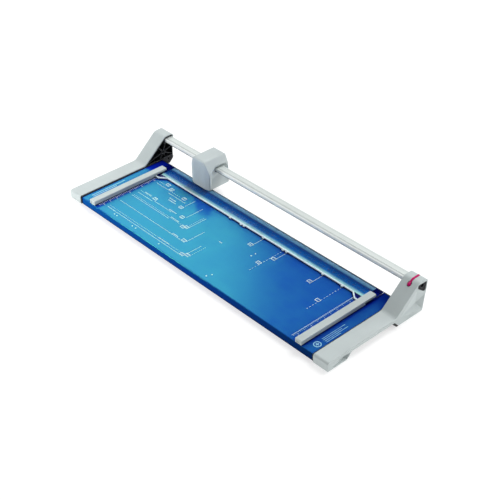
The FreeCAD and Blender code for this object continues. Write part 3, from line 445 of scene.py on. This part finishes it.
# Rows of small ticks beside the boxes: first x, distance from the cut line, how many
TICK_ROWS = [(-128, 208.5, 12), (-118, 176.5, 6), (-170, 139.5, 9), (-196, 123.0, 8), (-228, 99.5, 8),
             (-232, 93.0, 7), (-290, 118.0, 7), (-24, 124.0, 3)]
# Dots in pairs
DOTS = [(-267, 223), (-258, 223), (-202, 223), (-190, 223), (-108, 223), (63, 98.5), (62, 109.5),
        (55, 212.5), (50, 223.5)]


def dashes(start, end, dash):
    """Pieces of a line from start to end, with gaps as long as the dash. One piece if dash is 0."""
    if not dash:
        return [(start, end)]
    count = max(1, int((end - start) / (2 * dash)))
    return [(start + 2 * dash * i, start + 2 * dash * i + dash) for i in range(count)]


def frame_box(mesh, x, y, half_x, half_y, line):
    """Outline of a rectangle."""
    slab(mesh, x - half_x, x + half_x, y - half_y, y - half_y + line, INK_LOW, INK_HIGH)
    slab(mesh, x - half_x, x + half_x, y + half_y - line, y + half_y, INK_LOW, INK_HIGH)
    slab(mesh, x - half_x, x - half_x + line, y - half_y + line, y + half_y - line, INK_LOW, INK_HIGH)
    slab(mesh, x + half_x - line, x + half_x, y - half_y + line, y + half_y - line, INK_LOW, INK_HIGH)


def ring(mesh, x, y, inner, outer, steps=28):
    """Flat ring of ink made of short segments."""
    for i in range(steps):
        a, b = (2 * math.pi * (i + k) / steps for k in (0, 1))
        outline = [(x + radius * math.cos(angle), y + radius * math.sin(angle))
                   for radius, angle in ((inner, a), (outer, a), (outer, b), (inner, b))]
        prism(mesh, outline, INK_LOW, INK_HIGH)


def size_marks(mesh):
    for x0, x1, distance, dash in ALONG:
        y = EDGE_Y - distance
        for a, b in dashes(x0, x1, dash):
            slab(mesh, a, b, y - LINE / 2, y + LINE / 2, INK_LOW, INK_HIGH)
    for x, near, far, dash in ACROSS:
        for a, b in dashes(near, far, dash):
            slab(mesh, x - LINE / 2, x + LINE / 2, EDGE_Y - b, EDGE_Y - a, INK_LOW, INK_HIGH)
    for x, distance, digit in SIZES:
        y = EDGE_Y - distance
        frame_box(mesh, x, y, 5.6, 4.4, 1.3)
        number(mesh, digit, x, y, 4.6, INK_LOW, INK_HIGH)
    for x0, distance, count in TICK_ROWS:
        for i in range(count):
            x = x0 + 3.2 * i
            slab(mesh, x, x + 1.8, EDGE_Y - distance - 1.2, EDGE_Y - distance + 1.2, INK_LOW, INK_HIGH)
    for x, distance in DOTS:
        slab(mesh, x - 1.4, x + 1.4, EDGE_Y - distance - 1.4, EDGE_Y - distance + 1.4, INK_LOW, INK_HIGH)


RIGHT_SCALE_X = 307.4         # x where the ticks of the right bar's scale start
LEFT_SCALE_X = -323.5         # and those of the left bar's
LEFT_TICK_LENGTH = 1.6        # the left ticks are this many times longer


def tick_reach(count, whole, half, lengths):
    """Length of a tick: the first for a whole unit, the second for half a unit, else the third."""
    return lengths[0] if count % whole == 0 else lengths[1] if count % half == 0 else lengths[2]


def bar_scales(mesh):
    """Inch scales on the table along the inner sides of the two bars, counted from the cut line."""
    slab(mesh, RIGHT_SCALE_X - 0.7, RIGHT_SCALE_X, -131.0, 45.0, INK_LOW, INK_HIGH)
    for eighth in range(12, 51):
        y = EDGE_Y - eighth * INCH / 8
        reach = tick_reach(eighth, 8, 4, (7.0, 5.6, 3.4))
        slab(mesh, RIGHT_SCALE_X, RIGHT_SCALE_X + reach, y - 0.25, y + 0.25, INK_LOW, INK_HIGH)
        left_end = LEFT_SCALE_X + reach * LEFT_TICK_LENGTH
        slab(mesh, LEFT_SCALE_X, left_end, y - 0.5, y + 0.5, INK_LOW, INK_HIGH)
    for inches in range(2, 7):
        number(mesh, str(inches), 317.0, EDGE_Y - inches * INCH - 2.4, 4.0, INK_LOW, INK_HIGH)


def plain_blocks(mesh):
    """Plain stripes on the margins outside the bars, and a ring with a plus in it."""
    for i, (start, end) in enumerate(((-118, -24), (-118, -52), (-118, -24))):
        x = -366.0 + 5.6 * i
        slab(mesh, x, x + 2.6, start, end, INK_LOW, INK_HIGH)
    ring(mesh, 360.0, -114.0, 6.2, 8.4)
    slab(mesh, 356.0, 364.0, -115.2, -112.8, INK_LOW, INK_HIGH)
    slab(mesh, 358.8, 361.2, -118.0, -115.2, INK_LOW, INK_HIGH)
    slab(mesh, 358.8, 361.2, -112.8, -110.0, INK_LOW, INK_HIGH)
    for i, end in enumerate((-34, -46, -34, -58)):
        x = 354.5 + 4.2 * i
        slab(mesh, x, x + 1.1, -97.0, end, INK_LOW, INK_HIGH)


def table_print():
    mesh = bmesh.new()
    size_marks(mesh)
    bar_scales(mesh)
    piece("table_print", mesh, "white_print", "base")
    mesh = bmesh.new()
    plain_blocks(mesh)
    piece("margin_print", mesh, "white_print", "base", MARGIN_INK)


STRIP_LOW, STRIP_HIGH = 20.5, 23.0
STRIP_FRONT = 48.8
STRIP_MARKS = [251.5, 287.4, 297.0, 359.2, 420.0, 431.1, 538.8, 594.0]   # from the left bar
BAR_IN = 325.0                # inner side of a bar, from the middle
SCALE_TOP, SCALE_NUMBERS = 79.5, 66.2    # far end of the strip's ticks, and the middle of its numbers


def strip_front():
    """White line that runs round the strip's front edge and its feet, a painted highlight standing in for
    the lit front face, and the pointer marks.
    """
    mesh = bmesh.new()
    outside = [(-341.9, 35.15), (-313.0, 35.15), (-296.6, 48.72), (296.6, 48.72), (313.0, 35.15),
               (341.9, 35.15)]
    inside = [(341.9, 37.8), (314.2, 37.8), (297.8, 51.6), (-297.8, 51.6), (-314.2, 37.8), (-341.9, 37.8)]
    low, high = STRIP_LOW - 0.04, STRIP_HIGH + 0.04
    # Painted highlight along the front edge and the feet.
    prism(mesh, outside + inside, low, high)
    for length in STRIP_MARKS:
        x = length - BAR_IN
        slab(mesh, x - 2.5, x + 2.5, STRIP_FRONT - 3.3, STRIP_FRONT, low, high)
    piece("strip_front_highlight_and_pointers", mesh, "white_print", "clamp")


def strip_bands():
    """Navy band under the strip, and the millimetre scale on it, counted from the left bar."""
    mesh = bmesh.new()
    slab(mesh, -322.0, 322.0, 51.7, 91.0, STRIP_LOW - 0.08, STRIP_LOW - 0.02)
    piece("strip_navy_band", mesh, "navy_print", "clamp")
    mesh = bmesh.new()
    low, high = STRIP_HIGH - 0.02, STRIP_HIGH + 0.03
    for i in range(3, 457):
        x = i * MILLIMETRE - BAR_IN
        reach = tick_reach(i, 10, 5, (8.0, 6.4, 4.4))
        slab(mesh, x - 0.22, x + 0.22, SCALE_TOP - reach, SCALE_TOP, low, high)
        if i % 10 == 0:
            number(mesh, str(i // 10), x, SCALE_NUMBERS, 4.6, low, high)
    piece("strip_scale", mesh, "white_print", "clamp", SCALE_INK)


# ---- Camera, lights and floor ----
def back_direction(azimuth, elevation):
    """Unit vector from the middle to a place seen at an azimuth and elevation in degrees."""
    a, e = math.radians(azimuth), math.radians(elevation)
    return Vector((math.sin(a) * math.cos(e), -math.cos(a) * math.cos(e), math.sin(e)))


def add_camera():
    data = bpy.data.cameras.new("camera")
    camera = bpy.data.objects.new("camera", data)
    bpy.context.scene.collection.objects.link(camera)
    back = back_direction(CAMERA_AZIMUTH, CAMERA_ELEVATION)
    camera.location = CAMERA_TARGET + back * CAMERA_DISTANCE
    roll = Quaternion((0, 0, 1), math.radians(CAMERA_ROLL))
    camera.rotation_mode = "QUATERNION"
    camera.rotation_quaternion = (-back).to_track_quat("-Z", "Y") @ roll
    data.lens = CAMERA_LENS
    data.sensor_width = 36.0
    bpy.context.scene.camera = camera


def add_light(name, place, target, size, power):
    """Round soft light at a place, turned to a target, all in metres."""
    data = bpy.data.lights.new(name, "AREA")
    data.shape = "DISK"
    data.size = size
    data.energy = power
    light = bpy.data.objects.new(name, data)
    bpy.context.scene.collection.objects.link(light)
    light.location = place
    light.rotation_mode = "QUATERNION"
    light.rotation_quaternion = (Vector(target) - Vector(place)).to_track_quat("-Z", "Y")


FLOOR_HALF = 6.0              # metres
FLOOR_GLOW = 0.62
WORLD_LIGHT = 0.27
MIDDLE = (0, 0, 0)
# Lights: name, place, target, diameter in metres, power in watts
LIGHTS = [("key", back_direction(-180, 56) * 3.9, MIDDLE, 2.55, 100),
          ("sky_panel", back_direction(-110.5, 34) * 3.54, MIDDLE, 2.26, 14.5),
          ("left_front", (-0.51, -0.51, 0.24), (-0.14, 0.057, 0.042), 0.28, 2.3),
          ("right_rear", back_direction(150, 14) * 2.83, MIDDLE, 1.13, 31)]


def add_studio():
    """White floor, even room light and the four lights."""
    mesh = bpy.data.meshes.new("floor")
    corners = [(x, y, 0) for x, y in ((-FLOOR_HALF, -FLOOR_HALF), (FLOOR_HALF, -FLOOR_HALF),
                                      (FLOOR_HALF, FLOOR_HALF), (-FLOOR_HALF, FLOOR_HALF))]
    mesh.from_pydata(corners, [], [(0, 1, 2, 3)])
    floor = bpy.data.objects.new("floor", mesh)
    bpy.context.scene.collection.objects.link(floor)
    material, tree, bsdf = new_material("floor", Roughness=0.9)
    bsdf.inputs["Base Color"].default_value = (0.5, 0.5, 0.5, 1)
    bsdf.inputs["Emission Color"].default_value = (1, 1, 1, 1)
    bsdf.inputs["Emission Strength"].default_value = FLOOR_GLOW
    mesh.materials.append(material)
    world = bpy.data.worlds.new("studio")
    bpy.context.scene.world = world
    world.use_nodes = True
    background = world.node_tree.nodes["Background"]
    background.inputs[0].default_value = (1, 1, 1, 1)
    background.inputs[1].default_value = WORLD_LIGHT
    for name, place, target, size, power in LIGHTS:
        add_light(name, place, target, size, power)
    bpy.context.scene.view_settings.view_transform = "Standard"


dress_nodes()
table_print()
strip_front()
strip_bands()
add_camera()
add_studio()
